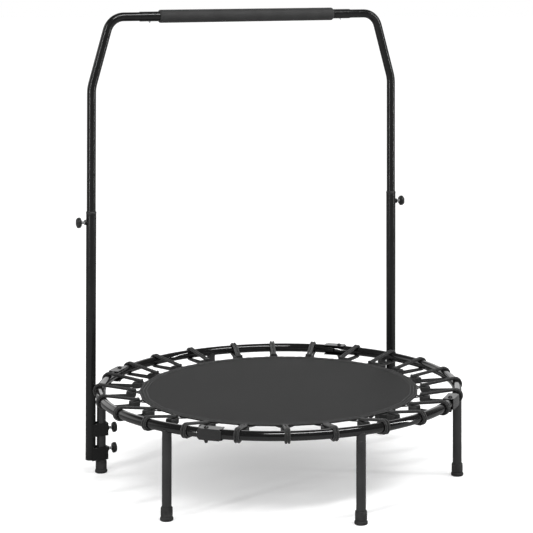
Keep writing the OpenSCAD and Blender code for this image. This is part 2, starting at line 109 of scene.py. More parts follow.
class Shells:
    """Collects closed shells into one mesh, with UVs in metres along and around each shell."""

    def __init__(self):
        self.points = []
        self.faces = []
        self.uvs = []
        self.slots = []

    def loft(self, rings, loop=False, caps=True, slot=0):
        """Joins equal rings of points in order. A loop joins the last ring to the first."""
        base = len(self.points)
        count = len(rings[0])
        for ring in rings:
            self.points += [tuple(p) for p in ring]
        centres = [sum((Vector(p) for p in ring), Vector()) / count for ring in rings]
        along = [0.0]
        for a, b in zip(centres, centres[1:] + centres[:1]):
            along.append(along[-1] + (b - a).length)
        first = [Vector(p) for p in rings[len(rings) // 2]]
        around = [0.0]
        for a, b in zip(first, first[1:] + first[:1]):
            around.append(around[-1] + (b - a).length)
        last = len(rings) if loop else len(rings) - 1
        for i in range(last):
            here = base + i * count
            there = base + (i + 1) % len(rings) * count
            for j in range(count):
                k = (j + 1) % count
                self.faces.append((here + j, here + k, there + k, there + j))
                self.uvs.append([
                    (along[i], around[j]), (along[i], around[j + 1]),
                    (along[i + 1], around[j + 1]), (along[i + 1], around[j]),
                ])
                self.slots.append(slot)
        if loop or not caps:
            return
        for ring_start, flip in ((base, True), (base + (len(rings) - 1) * count, False)):
            face = list(range(ring_start, ring_start + count))
            if flip:
                face.reverse()
            self.faces.append(tuple(face))
            self.uvs.append([(0.0, 0.0)] * count)
            self.slots.append(slot)

    def piece(self, name, materials, sharp_angle=38):
        """Makes the object, welds doubled points and turns every shell's faces outwards."""
        mesh = bpy.data.meshes.new(name)
        mesh.from_pydata(self.points, [], self.faces)
        layer = mesh.uv_layers.new(name="UVMap")
        layer.data.foreach_set("uv", [c for face in self.uvs for uv in face for c in uv])
        mesh.polygons.foreach_set("material_index", self.slots)
        bm = bmesh.new()
        bm.from_mesh(mesh)
        bmesh.ops.remove_doubles(bm, verts=bm.verts, dist=1e-6)
        bmesh.ops.dissolve_degenerate(bm, edges=bm.edges, dist=1e-7)
        bmesh.ops.recalc_face_normals(bm, faces=bm.faces)
        bm.to_mesh(mesh)
        bm.free()
        for material in materials:
            mesh.materials.append(material)
        mesh.polygons.foreach_set("use_smooth", [True] * len(mesh.polygons))
        mesh.set_sharp_from_angle(angle=math.radians(sharp_angle))
        made = bpy.data.objects.new(name, mesh)
        bpy.context.scene.collection.objects.link(made)
        return made


def circle_ring(centre, side, up, radius, count):
    """Points of a circle about a centre, in the plane of two unit vectors."""
    return [
        centre + side * (radius * math.cos(TAU * j / count)) + up * (radius * math.sin(TAU * j / count))
        for j in range(count)
    ]


def box_ring(centre, side, up, half_w, half_h, corner, steps=3):
    """Points of a rectangle with rounded corners, in the plane of two unit vectors."""
    ring = []
    for quarter, (sx, sy) in enumerate(((1, 1), (-1, 1), (-1, -1), (1, -1))):
        for k in range(steps + 1):
            a = (quarter + k / steps) * TAU / 4
            x = sx * (half_w - corner) + corner * math.cos(a)
            y = sy * (half_h - corner) + corner * math.sin(a)
            ring.append(centre + side * x + up * y)
    return ring


def lathe(shells, profile, place, count=64, wobble=None, slot=0):
    """Turns a closed profile of (radius, height) about the Z axis of a placing matrix."""
    rings = []
    for i in range(count):
        a = TAU * i / count
        ring = []
        for r, z in profile:
            if wobble:
                r = wobble(r, z, a)
            ring.append(place @ Vector((r * math.cos(a), r * math.sin(a), z)))
        rings.append(ring)
    shells.loft(rings, loop=True, slot=slot)


def rounded(profile, radius, steps=4):
    """Rounds every corner of a closed profile that has room for the radius."""
    out = []
    count = len(profile)
    for i, corner in enumerate(profile):
        p = Vector(corner)
        a = Vector(profile[i - 1]) - p
        b = Vector(profile[(i + 1) % count]) - p
        reach = min(radius, a.length * 0.45, b.length * 0.45)
        on_axis = abs(p.x) < 1e-9
        if on_axis or reach < 1e-5:
            out.append(tuple(p))
            continue
        start = p + a.normalized() * reach
        end = p + b.normalized() * reach
        for k in range(steps + 1):
            t = k / steps
            point = start * (1 - t) ** 2 + p * (2 * t * (1 - t)) + end * t ** 2
            out.append(tuple(point))
    return out


def sweep(shells, path, radius, count=12, loop=False, slot=0, scale=None):
    """A round bar along a path, its rings held square to the path."""
    rings = []
    total = len(path)
    side = None
    for i, p in enumerate(path):
        before = path[i - 1] if i or loop else path[i]
        after = path[(i + 1) % total] if i + 1 < total or loop else path[i]
        ahead = (after - before).normalized()
        if side is None:
            side = ahead.orthogonal().normalized()
        side = (side - ahead * side.dot(ahead)).normalized()
        up = ahead.cross(side)
        r = radius * (scale(i) if scale else 1)
        rings.append(circle_ring(p, side, up, r, count))
    shells.loft(rings, loop=loop, slot=slot)


def sector_matrix(angle):
    """Places a piece drawn with +X outwards on the ring at an angle."""
    return Matrix.Rotation(angle, 4, "Z")


# ---------- Material nodes ----------

class Graph:
    """A node tree, with short calls for the nodes used here."""

    def __init__(self, tree, coordinate="Object"):
        """Opens a tree whose textures are placed by one of the object's coordinates."""
        self.tree = tree
        self.place = self.add("ShaderNodeTexCoord").outputs[coordinate]

    def add(self, kind, **settings):
        """A new node with its settings."""
        made = self.tree.nodes.new(kind)
        for key, value in settings.items():
            setattr(made, key, value)
        return made

    def feed(self, socket, value):
        """Links another node's socket to this one, or sets a plain value."""
        if isinstance(value, bpy.types.NodeSocket):
            self.tree.links.new(value, socket)
        else:
            socket.default_value = value

    def math(self, operation, a, b=0.0, c=0.0):
        """One sum on sockets or numbers."""
        made = self.add("ShaderNodeMath", operation=operation)
        for socket, value in zip(made.inputs, (a, b, c)):
            self.feed(socket, value)
        return made.outputs[0]

    def split(self, vector=None):
        """The three parts of a vector, or of the place on the object."""
        made = self.add("ShaderNodeSeparateXYZ")
        self.feed(made.inputs[0], self.place if vector is None else vector)
        return made.outputs

    def noise(self, scale, detail=2.0, stretch=None):
        """Smooth noise with about scale features to the metre, stretched where asked."""
        vector = self.place
        if stretch:
            mapping = self.add("ShaderNodeMapping")
            self.feed(mapping.inputs["Vector"], vector)
            mapping.inputs["Scale"].default_value = stretch
            vector = mapping.outputs[0]
        made = self.add("ShaderNodeTexNoise")
        self.feed(made.inputs["Vector"], vector)
        made.inputs["Scale"].default_value = scale
        made.inputs["Detail"].default_value = detail
        return made.outputs[0]

    def cells(self, scale):
        """Distance to the middle of the nearest cell."""
        made = self.add("ShaderNodeTexVoronoi", feature="F1")
        self.feed(made.inputs["Vector"], self.place)
        made.inputs["Scale"].default_value = scale
        return made.outputs["Distance"]

    def span(self, value, from_low, from_high, to_low=0.0, to_high=1.0):
        """Maps a value's range on to another, held at its ends."""
        made = self.add("ShaderNodeMapRange")
        for socket, v in zip(made.inputs, (value, from_low, from_high, to_low, to_high)):
            self.feed(socket, v)
        return made.outputs[0]

    def blend(self, factor, a, b):
        """A colour between two others."""
        made = self.add("ShaderNodeMix", data_type="RGBA")
        self.feed(made.inputs[0], factor)
        self.feed(made.inputs[6], a)
        self.feed(made.inputs[7], b)
        return made.outputs[2]

    def bump(self, height, distance, strength=1.0, normal=None):
        """The normal of a surface raised by a height of 0 to 1, over another normal if one is given."""
        made = self.add("ShaderNodeBump")
        made.inputs["Strength"].default_value = strength
        made.inputs["Distance"].default_value = distance
        self.feed(made.inputs["Height"], height)
        if normal is not None:
            self.feed(made.inputs["Normal"], normal)
        return made.outputs[0]

    def edges(self, radius, low=0.03, high=0.25):
        """One on sharp convex or concave edges, falling to nothing on flat surfaces."""
        bevel = self.add("ShaderNodeBevel", samples=4)
        bevel.inputs["Radius"].default_value = radius
        geometry = self.add("ShaderNodeNewGeometry")
        dot = self.add("ShaderNodeVectorMath", operation="DOT_PRODUCT")
        self.feed(dot.inputs[0], bevel.outputs[0])
        self.feed(dot.inputs[1], geometry.outputs["Normal"])
        turned = self.math("SUBTRACT", 1.0, dot.outputs["Value"])
        return self.span(turned, low, high)


class Surface(Graph):
    """One material's node tree."""

    def __init__(self, name):
        """Starts a material with a principled shader."""
        self.material = bpy.data.materials.new(name)
        self.material.use_nodes = True
        super().__init__(self.material.node_tree)
        self.shader = self.tree.nodes["Principled BSDF"]

    def finish(self, colour, roughness, normal=None, **inputs):
        """Feeds the shader and gives the material."""
        self.feed(self.shader.inputs["Base Color"], colour)
        self.feed(self.shader.inputs["Roughness"], roughness)
        if normal is not None:
            self.feed(self.shader.inputs["Normal"], normal)
        for key, value in inputs.items():
            self.feed(self.shader.inputs[key.replace("_", " ")], value)
        return self.material


def grey(level, warmth=0.0):
    """A grey colour, a little redder than blue where it is warm."""
    return (level * (1 + warmth), level, level * (1 - warmth), 1.0)


def powder_coat(name, level, rough, peel, coat=0.0, wear=0.35, shine=0.5):
    """Black powder coat: orange peel, uneven sheen, dust and rubbed edges."""
    g = Surface(name)
    cloud = g.noise(14.0, 3.0)
    speck = g.noise(900.0, 1.0)
    base = g.blend(g.span(cloud, 0.3, 0.7), grey(level * 0.85), grey(level * 1.2))
    rubbed = g.math("MULTIPLY", g.edges(0.7 * MM), g.span(g.noise(130.0, 3.0), 0.4, 0.7))
    bare_metal = grey(0.16)
    base = g.blend(g.math("MULTIPLY", rubbed, wear), base, bare_metal)
    roughness = g.math("ADD", g.span(cloud, 0.25, 0.75, rough - 0.04, rough + 0.06),
                       g.span(speck, 0.3, 0.7, -0.02, 0.03))
    peeled = g.bump(g.noise(420.0, 2.0), peel)
    return g.finish(base, roughness, peeled, Coat_Weight=coat, Coat_Roughness=0.06,
                    Specular_IOR_Level=shine)


def bright_zinc(name, pitch=0.0):
    """Bright zinc plate with fine brushing, and thread rings where the pitch isn't nothing."""
    g = Surface(name)
    brush = g.noise(60.0, 4.0, stretch=(1.0, 18.0, 18.0))
    stain = g.noise(90.0, 3.0)
    fresh = (0.70, 0.71, 0.73, 1)
    dulled = (0.50, 0.50, 0.51, 1)
    base = g.blend(g.span(stain, 0.35, 0.7), fresh, dulled)
    height = brush
    depth = 0.03 * MM
    if pitch:
        x = g.split()[0]
        rings = g.math("SINE", g.math("MULTIPLY", x, TAU / pitch))
        height = g.math("ADD", g.math("MULTIPLY", brush, 0.1), rings)
        depth = 0.25 * MM
    normal = g.bump(height, depth)
    return g.finish(base, g.span(brush, 0.3, 0.7, 0.18, 0.34), normal, Metallic=0.6)


def moulded_plastic(name, level, rough, grain=1600.0, depth=0.03):
    """Moulded plastic with a fine spark-eroded grain and lighter rubbed edges."""
    g = Surface(name)
    tone = g.noise(40.0, 3.0)
    base = g.blend(g.span(tone, 0.3, 0.7), grey(level * 0.8), grey(level * 1.25))
    rubbed = grey(0.10)
    base = g.blend(g.math("MULTIPLY", g.edges(0.5 * MM), 0.25), base, rubbed)
    normal = g.bump(g.noise(grain, 2.0), depth * MM)
    return g.finish(base, g.span(tone, 0.3, 0.7, rough - 0.05, rough + 0.07), normal)


def moulded_rubber(name):
    """Matt black rubber with dust in its pores."""
    g = Surface(name)
    dust = g.noise(55.0, 5.0)
    clean = grey(0.012)
    dusty = grey(0.045, 0.03)
    base = g.blend(g.span(dust, 0.45, 0.75, 0.0, 0.5), clean, dusty)
    normal = g.bump(g.noise(700.0, 3.0), 0.10 * MM)
    return g.finish(base, g.span(dust, 0.3, 0.7, 0.62, 0.8), normal)


def closed_foam(name):
    """Closed-cell foam: a skin of small cells over a soft mottle."""
    g = Surface(name)
    cell = g.cells(1100.0)
    mottle = g.noise(25.0, 3.0)
    base = g.blend(g.span(mottle, 0.3, 0.7), grey(0.011), grey(0.017))
    pits = g.bump(cell, 0.22 * MM)
    normal = g.bump(mottle, 0.5 * MM, strength=0.5, normal=pits)
    return g.finish(base, 0.66, normal, Sheen_Weight=0.04, Sheen_Roughness=0.5)


def thread_ridge(g, across):
    """Height of a round thread across one cell of its pitch."""
    return g.math("SINE", g.math("MULTIPLY", g.math("FRACT", across), math.pi))


def plain_weave(g, u, v):
    """Height of a plain weave whose threads are one unit wide along u and v."""
    parity = g.math("MODULO", g.math("ADD", g.math("FLOOR", u), g.math("FLOOR", v)), 2.0)
    over = g.math("GREATER_THAN", g.math("ABSOLUTE", parity), 0.5)
    ridge_u = thread_ridge(g, u)
    ridge_v = thread_ridge(g, v)
    warp = g.math("MULTIPLY", ridge_u, g.math("MULTIPLY_ADD", ridge_v, 0.5, 0.5))
    weft = g.math("MULTIPLY", ridge_v, g.math("MULTIPLY_ADD", ridge_u, 0.5, 0.5))
    chosen = g.math("MULTIPLY", over, g.math("SUBTRACT", warp, weft))
    return g.math("ADD", chosen, weft)


def mat_weave(name, level, pitch=1.5 * MM):
    """Woven polypropylene jumping mat: a fine plain weave with slight streaks along its threads."""
    g = Surface(name)
    x, y, _ = g.split()
    height = plain_weave(g, g.math("DIVIDE", x, pitch), g.math("DIVIDE", y, pitch))
    streak_x = g.noise(30.0, 2.0, stretch=(20.0, 1.0, 1.0))
    streak_y = g.noise(30.0, 2.0, stretch=(1.0, 20.0, 1.0))
    cloud = g.noise(5.0, 3.0)
    tone = g.math("MULTIPLY", g.math("ADD", g.math("ADD", streak_x, streak_y), cloud), 0.333)
    base = g.blend(g.span(tone, 0.38, 0.62), grey(level * 0.84), grey(level * 1.14))
    # Painted shade: the low parts of the weave, between the threads, are darkened towards 0.35 of the
    # mat's level.
    base = g.blend(g.span(height, 0.0, 0.5, 0.6, 0.0), base, grey(level * 0.35))
    normal = g.bump(height, 0.16 * MM, 0.7)
    return g.finish(base, g.span(height, 0.0, 1.0, 0.75, 0.52), normal,
                    Sheen_Weight=0.03, Sheen_Roughness=0.4, Specular_IOR_Level=0.16)


def sewing_thread(name, level):
    """Twisted polyester thread, a little lighter than the mat."""
    g = Surface(name)
    uv = g.add("ShaderNodeUVMap").outputs[0]
    u, v, _ = g.split(uv)
    twist_pitch = 0.6 * MM
    twist = g.math("SINE", g.math("MULTIPLY", g.math("ADD", u, v), TAU / twist_pitch))
    # Painted shade and highlight: the thread is darker in the grooves of its twist and lighter on its
    # crests.
    base = g.blend(g.span(twist, -1.0, 1.0), grey(level * 0.7), grey(level * 1.2))
    return g.finish(base, 0.6, g.bump(twist, 0.05 * MM), Sheen_Weight=0.2)


def ribbed_webbing(name, level):
    """Webbing with raised ribs along its length and a fine cross weave."""
    g = Surface(name)
    uv = g.add("ShaderNodeUVMap").outputs[0]
    u, v, _ = g.split(uv)
    rib_pitch = 1.4 * MM
    cross_pitch = 0.9 * MM
    ribs = thread_ridge(g, g.math("DIVIDE", v, rib_pitch))
    cross = thread_ridge(g, g.math("DIVIDE", u, cross_pitch))
    height = g.math("ADD", ribs, g.math("MULTIPLY", cross, 0.4))
    tone = g.noise(120.0, 3.0)
    base = g.blend(g.span(tone, 0.3, 0.7), grey(level * 0.75), grey(level * 1.3))
    # Painted shade: the grooves between the ribs are darkened towards 0.3 of the webbing's level.
    base = g.blend(g.span(height, 0.0, 0.7, 0.5, 0.0), base, grey(level * 0.3))
    return g.finish(base, 0.72, g.bump(height, 0.14 * MM), Sheen_Weight=0.15)


def braided_sleeve(name, level, carriers=8):
    """Braided cord sleeve: two families of strands wound opposite ways, with paler tracer strands."""
    g = Surface(name)
    uv = g.add("ShaderNodeUVMap").outputs[0]
    u, v, _ = g.split(uv)
    lay_length = 2.6 * MM
    turn = g.math("MULTIPLY", v, carriers / (TAU * CORD_R))
    lay = g.math("DIVIDE", u, lay_length)
    right = g.math("ADD", turn, lay)
    left = g.math("SUBTRACT", turn, lay)
    height = plain_weave(g, right, left)
    tracer = g.math("GREATER_THAN", g.math("FRACT", g.math("DIVIDE", right, 4.0)), 0.72)
    tone = g.noise(200.0, 3.0)
    base = g.blend(g.span(tone, 0.3, 0.7), grey(level * 0.8), grey(level * 1.3))
    base = g.blend(g.math("MULTIPLY", tracer, 0.3), base, grey(level * 4.0))
    # Painted shade: the gaps between the braided strands are darkened towards a quarter of the sleeve's
    # level.
    base = g.blend(g.span(height, 0.0, 0.45, 0.7, 0.0), base, grey(level * 0.25))
    return g.finish(base, 0.66, g.bump(height, 0.30 * MM), Sheen_Weight=0.2,
                    Sheen_Roughness=0.4)


materials = {
    "rim": powder_coat("rim_gloss_coat", 0.005, 0.08, 0.02 * MM, coat=0.6, wear=0.2),
    "bracket": powder_coat("bracket_satin_coat", 0.006, 0.22, 0.04 * MM, wear=0.4, shine=0.8),
    "leg": powder_coat("leg_satin_coat", 0.022, 0.30, 0.04 * MM, wear=0.4, shine=0.35),
    "handle": powder_coat("handle_satin_coat", 0.006, 0.19, 0.006 * MM, wear=0.4, shine=0.45),
    "hardware": powder_coat("black_hardware", 0.012, 0.34, 0.03 * MM, wear=0.8),
    "zinc": bright_zinc("bright_zinc"),
    "thread_zinc": bright_zinc("zinc_thread", 1.25 * MM),
    "rubber": moulded_rubber("foot_rubber"),
    "mat": mat_weave("mat_weave", 0.0115),
    "stitch": sewing_thread("stitch_thread", 0.07),
    "webbing": ribbed_webbing("strap_webbing", 0.016),
    "hook": moulded_plastic("hook_plastic", 0.012, 0.46),
    "cord": braided_sleeve("cord_sleeve", 0.010),
    "cap": moulded_plastic("cap_plastic", 0.012, 0.50),
    "knob": moulded_plastic("knob_plastic", 0.009, 0.40),
    "foam": closed_foam("grip_foam"),
}


# ---------- CAD nodes that keep their shape ----------

SPOTS = [f"{level}_{side}" for level in LEVELS for side in SIDE_SIGNS]
NODE_LOOKS = {
    "rim": [f"rim_section_{s}" for s in ("right", "back", "left", "front")],
    "bracket": [f"bracket_{s}" for s in ("back_right", "back_left", "front_left", "front_right")],
    "leg": [f"leg_{s}" for s in LEG_NAMES] + ["leg_sockets"],
    "handle": [f"{part}_{s}" for part in ("post", "side_tube") for s in SIDE_SIGNS] + ["crossbar"]
    + [f"clamp_{s}" for s in SPOTS],
    "hardware": ["rim_joint_bolts", "rim_joint_nuts"],
    "zinc": ["leg_studs"] + [f"snap_button_{s}" for s in SIDE_SIGNS],
    "thread_zinc": [f"height_screw_{s}" for s in SIDE_SIGNS] + [f"clamp_screw_{s}" for s in SPOTS],
    "cap": [f"{part}_{s}" for part in ("post_cap", "ferrule") for s in SIDE_SIGNS],
}


def dress_cad_nodes():
    """Gives each CAD node that stays visible its material."""
    for look, nodes in NODE_LOOKS.items():
        for name in nodes:
            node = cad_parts[name]
            if not node.material_slots:
                node.data.materials.append(materials[look])
            for material_slot in node.material_slots:
                material_slot.material = materials[look]


# ---------- Jumping mat ----------

EDGE_CUSP_R = MAT_R - 0.3 * MM
SCALLOP = 3 * MM                                # how far the edge is hollowed between two cusps
BORDER_W = 23 * MM
BORDER_RISE = 0.75 * MM
STITCH_ROWS = (3.0 * MM, 11.5 * MM, 20.0 * MM)  # distances from the edge


def edge_radius(turn):
    """Radius of the mat's edge at an angle from a connection: a cusp there, hollow between."""
    share = min(1.0, abs(turn) / (SECTOR / 2))
    return EDGE_CUSP_R - SCALLOP * (1 - (1 - share) ** 1.7)


def border_height(inset):
    """How far the doubled, sewn border stands over the mat at a distance from its edge."""
    outer = min(1.0, max(0.0, inset / (1.2 * MM)))
    inner = min(1.0, max(0.0, (BORDER_W - inset) / (1.5 * MM)))
    groove_w = 1.3 * MM
    groove = 0.3 * MM * sum(math.exp(-((inset - row) / groove_w) ** 2) for row in STITCH_ROWS)
    return BORDER_RISE * outer ** 0.5 * inner - groove * min(1.0, inset / (2 * MM))


def pucker(turn, inset):
    """Small radial gathers near a connection, dying out towards the middle of the mat."""
    height = 0.45 * MM
    reach = 26 * MM
    gathers = 4.5
    fade = math.exp(-inset / reach) * math.exp(-(turn / (0.42 * SECTOR)) ** 2)
    return height * fade * math.cos(turn / SECTOR * TAU * gathers)


def mat_height(turn, inset):
    """Height of the mat's top face at an angle and a distance from its edge."""
    return MAT_TOP + border_height(inset) + pucker(turn, inset)


# Distances from the mat's edge, in millimetres, at which its section has points.
INSETS = [0.0, 0.4, 1.2, 2.0, 3.0, 4.2, 6.5, 9.0, 10.4, 11.5, 12.7, 15.0, 18.0, 19.0, 20.0, 21.2,
          22.2, 23.0, 25.0, 29.0, 35.0, 43.0, 53.0, 65.0, 80.0, 98.0, 115.0]


def mat_profile(turn, place):
    """Closed section of the mat edge at an angle from its connection."""
    outer = edge_radius(turn)
    inner = CENTRE_R / math.cos(turn)
    top = [(outer - inset * MM, mat_height(turn, inset * MM)) for inset in INSETS]
    top[0] = (outer, (MAT_TOP + MAT_LOW) / 2)
    under = [(outer - inset * MM, MAT_LOW + pucker(turn, inset * MM) * 0.5) for inset in INSETS[1:]]
    section = [(inner, MAT_TOP)] + top[::-1] + under + [(inner, MAT_LOW)]
    return [place @ Vector((r * math.cos(turn), r * math.sin(turn), z)) for r, z in section]


def add_stitches(shells, place, inset):
    """One row of lock stitches across a sector, each a short raised thread."""
    pitch = 6.2 * MM
    length = 4.4 * MM
    thickness = 0.55 * MM
    count = int(edge_radius(SECTOR / 4) * SECTOR / pitch)
    for k in range(count):
        path = []
        for t in (-0.5, -0.25, 0.0, 0.25, 0.5):
            turn = ((k + 0.5) / count - 0.5) * SECTOR + t * length / MAT_R
            r = edge_radius(turn) - inset
            lift = thickness * (0.55 - 3.2 * t * t)
            z = mat_height(turn, inset) + lift
            path.append(place @ Vector((r * math.cos(turn), r * math.sin(turn), z)))
        sweep(shells, path, thickness, count=6, slot=1)


def mat_edge_panel(index, angle):
    """One sector of the mat's edge."""
    place = sector_matrix(angle)
    shells = Shells()
    steps = 20
    turns = [(i / steps - 0.5) * SECTOR for i in range(steps + 1)]
    shells.loft([mat_profile(turn, place) for turn in turns])
    for inset in STITCH_ROWS:
        add_stitches(shells, place, inset)
    return shells.piece(f"mat_edge_{index:02d}", [materials["mat"], materials["stitch"]])


def mat_centre():
    """The middle of the mat, with straight sides that meet the edge panels."""
    shells = Shells()
    per_side = 4
    count = CONNECTIONS * per_side
    shares = [0.0, 0.12, 0.25, 0.4, 0.55, 0.7, 0.85, 1.0]

    def ring(i):
        a = TAU * i / count
        turn = a % SECTOR - SECTOR / 2
        outer = CENTRE_R / math.cos(turn)
        top = [(outer * s, MAT_TOP) for s in shares]
        under = [(outer * s, MAT_LOW) for s in shares[::-1]]
        return [Vector((r * math.cos(a), r * math.sin(a), z)) for r, z in top + under]

    shells.loft([ring(i) for i in range(count)], loop=True)
    return shells.piece("mat_centre", [materials["mat"]])


# ---------- Straps, hooks and cords ----------

STRAP_SAG = 0.9 * MM        # of a strap arm, half way along


def ribbon(shells, path, widths, thickness, side_axis):
    """A flat strap with rounded edges along a path."""
    rings = []
    for i, p in enumerate(path):
        before = path[max(i - 1, 0)]
        after = path[min(i + 1, len(path) - 1)]
        ahead = (after - before).normalized()
        side = (side_axis - ahead * side_axis.dot(ahead)).normalized()
        up = ahead.cross(side)
        corner = thickness * 0.48
        rings.append(box_ring(p, side, up, widths[i] / 2, thickness / 2, corner, steps=2))
    shells.loft(rings)


def mat_strap(index, angle):
    """A V of webbing sewn under the mat's edge, its point looped through the hook."""
    place = sector_matrix(angle)
    across = place.to_3x3() @ Vector((0, 1, 0))
    shells = Shells()
    thickness = 1.4 * MM
    neck_w = 17.5 * MM
    mid_z = (STRAP_LOW + STRAP_HIGH) / 2
    neck_r = HOOK_IN_R - 3 * MM
    steps = 8
    for side in (-1, 1):
        start = Vector((STRAP_IN_R + 1 * MM, side * 19 * MM, mid_z))
        end = Vector((neck_r + 4 * MM, side * 4.6 * MM, mid_z + side * 0.12 * MM))
        path = []
        for k in range(steps + 1):
            t = k / steps
            p = start.lerp(end, t)
            p.z -= STRAP_SAG * math.sin(math.pi * t)
            path.append(place @ p)
        widths = [(15 - 5 * k / steps) * MM for k in range(steps + 1)]
        ribbon(shells, path, widths, thickness, across)
        add_strap_stitches(shells, place, start, end, mid_z)
    neck = [place @ Vector((neck_r - 2 * MM + k * 2 * MM, 0, mid_z + 0.2 * MM)) for k in range(7)]
    ribbon(shells, neck, [neck_w] * len(neck), thickness + 0.1 * MM, across)
    return shells.piece(f"mat_strap_{index:02d}", [materials["webbing"], materials["stitch"]])


def add_strap_stitches(shells, place, start, end, mid_z):
    """Bars of stitching across a strap arm, seen from under the mat."""
    below = 0.75 * MM
    thread_r = 0.35 * MM
    for share in (0.08, 0.2, 0.32):
        p = start.lerp(end, share)
        z = mid_z - STRAP_SAG * math.sin(math.pi * share) - below
        path = [place @ Vector((p.x, p.y + k * MM, z)) for k in range(-4, 5)]
        sweep(shells, path, thread_r, count=6, slot=1)


def hook_half_width(share):
    """Half the width of a hook from its mat end, 0, to its cord end, 1."""
    full = 11.9 * MM
    waist = 0.10 * math.exp(-((share - 0.34) / 0.13) ** 2)
    return full * (1 - waist)


def hook_low(share):
    """Underside of a hook: deepest towards its cord end, rising at the mat end."""
    rise = 4.2 * MM
    return HOOK_LOW + 0.1 * MM + rise * (1 - min(1.0, share / 0.42)) ** 2


def block(shells, place, radii, sizes, corner):
    """A rounded block along a radius; each size is half width, lowest and highest height."""
    side = place.to_3x3() @ Vector((0, 1, 0))
    up = Vector((0, 0, 1))
    rings = []
    last = len(radii) - 1
    end_shrink = (0.7, 0.25, 0.05, 0.0)     # shares of the corner, from an end inwards
    for i, (r, (half_w, low, high)) in enumerate(zip(radii, sizes)):
        shrink = corner * end_shrink[min(i, last - i, 3)]
        centre = place @ Vector((r, 0, (low + high) / 2))
        half_h = (high - low) / 2
        rings.append(box_ring(centre, side, up, half_w - shrink, half_h - shrink, corner, steps=5))
    shells.loft(rings)


def end_spaced(low, high, corner, between):
    """Places from low to high, closer together at the two rounded ends."""
    ends = [0.0, 0.25 * corner, 0.65 * corner]
    inner = [low + corner + (high - low - 2 * corner) * k / between for k in range(between + 1)]
    return [low + e for e in ends] + inner + [high - e for e in ends[::-1]]


def bungee_hook(index, angle):
    """A moulded hook: a waisted body hung under the mat's plane, with a lug that holds the cord."""
    place = sector_matrix(angle)
    side = place.to_3x3() @ Vector((0, 1, 0))
    up = Vector((0, 0, 1))
    shells = Shells()
    inset = 0.2 * MM
    rib_r = 0.8 * MM
    lip_r = 0.7 * MM
    collar_r = 0.6 * MM
    inner = HOOK_IN_R + inset
    outer = HOOK_OUT_R - inset
    radii = end_spaced(inner, outer, 2.4 * MM, 10)
    shares = [(r - inner) / (outer - inner) for r in radii]
    sizes = [(hook_half_width(t), hook_low(t), HOOK_TOP - 0.1 * MM) for t in shares]
    block(shells, place, radii, sizes, 3.0 * MM)
    lug_radii = end_spaced(inner, LUG_OUT_R - inset, 1.6 * MM, 2)
    lug_sizes = [(8.6 * MM, HOOK_TOP - 5 * MM, HOOK_HIGH - inset)] * len(lug_radii)
    block(shells, place, lug_radii, lug_sizes, 2.4 * MM)

    def rib(points):
        last = len(points) - 1
        taper = (0.3, 0.8, 1)
        path = [place @ Vector(point) for point in points]
        sweep(shells, path, rib_r, count=8, scale=lambda i: taper[min(i, last - i, 2)])

    for v in (-9.6 * MM, 9.6 * MM):
        along = [inner + (outer - inner) * (0.30 + 0.60 * k / 8) for k in range(9)]
        rib([(r, v, HOOK_TOP - 0.5 * MM) for r in along])
    for face in (-1, 1):
        for level in (0.35, 0.6):
            z = HOOK_LOW + (HOOK_TOP - HOOK_LOW) * level
            along = [0.55 + 0.30 * k / 6 for k in range(7)]
            rib([(inner + (outer - inner) * t, face * (hook_half_width(t) - 0.35 * MM), z) for t in along])
    mouth = box_ring(place @ Vector((inner + 0.1 * MM, 0, (STRAP_LOW + STRAP_HIGH) / 2)), side, up,
                     10.2 * MM, 1.7 * MM, 1.6 * MM, steps=4)
    sweep(shells, mouth, lip_r, count=8, loop=True)
    for v in (-STRAND_V, STRAND_V):
        low_v = v + math.copysign(LOWER_SPREAD, v)
        for face_r, across, z, size in (
            (LUG_OUT_R, v, UPPER_END_Z, CORD_R * 0.8),
            (outer, low_v, LOWER_END_Z, CORD_R * 0.95),
        ):
            collar = circle_ring(place @ Vector((face_r - 0.1 * MM, across, z)), side, up, size, 20)
            sweep(shells, collar, collar_r, count=8, loop=True)
    return shells.piece(f"bungee_hook_{index:02d}", [materials["hook"]])


def rim_shift(index):
    """How far round the rim a cord sits from its hook's own radius, as cords settle in use."""
    return 5.5 * MM * math.sin(2.1 * index + 0.6) + 2.5 * MM * math.sin(4.7 * index)


def strand_path(side, shift):
    """Centreline of one strand: from the lug over the tube, round it and under to the hook's face."""
    wrap_r = TUBE_R + CORD_R + 0.08 * MM
    tuck = 0.7 * MM     # how far an end reaches across its gap to the hook
    ends = [
        Vector((UPPER_END_R - tuck - RIM_R, UPPER_END_Z - RIM_Z)),
        Vector((LOWER_END_R - tuck - RIM_R, LOWER_END_Z - RIM_Z)),
    ]

    def leave(end, sign):
        return math.atan2(end.y, end.x) - sign * math.acos(wrap_r / end.length)

    top = leave(ends[0], 1) % TAU
    bottom = leave(ends[1], -1) % TAU
    start = Vector((math.cos(top), math.sin(top))) * wrap_r
    stop = Vector((math.cos(bottom), math.sin(bottom))) * wrap_r
    turn = (top - bottom) % TAU
    v_rim = side * STRAND_V + shift
    v_low = side * (STRAND_V + LOWER_SPREAD)
    path = []

    def put(p, v_hook, share):
        ease = share * share * (3 - 2 * share)
        path.append(Vector((RIM_R + p.x, v_hook + (v_rim - v_hook) * ease, RIM_Z + p.y)))

    straight = 14
    wrap = 34
    for k in range(straight):
        put(ends[0].lerp(start, k / straight), side * STRAND_V, k / straight)
    for k in range(wrap + 1):
        a = top - turn * k / wrap
        put(Vector((math.cos(a), math.sin(a))) * wrap_r, side * STRAND_V, 1.0)
    for k in range(1, straight + 1):
        put(stop.lerp(ends[1], k / straight), v_low, 1 - k / straight)
    return path


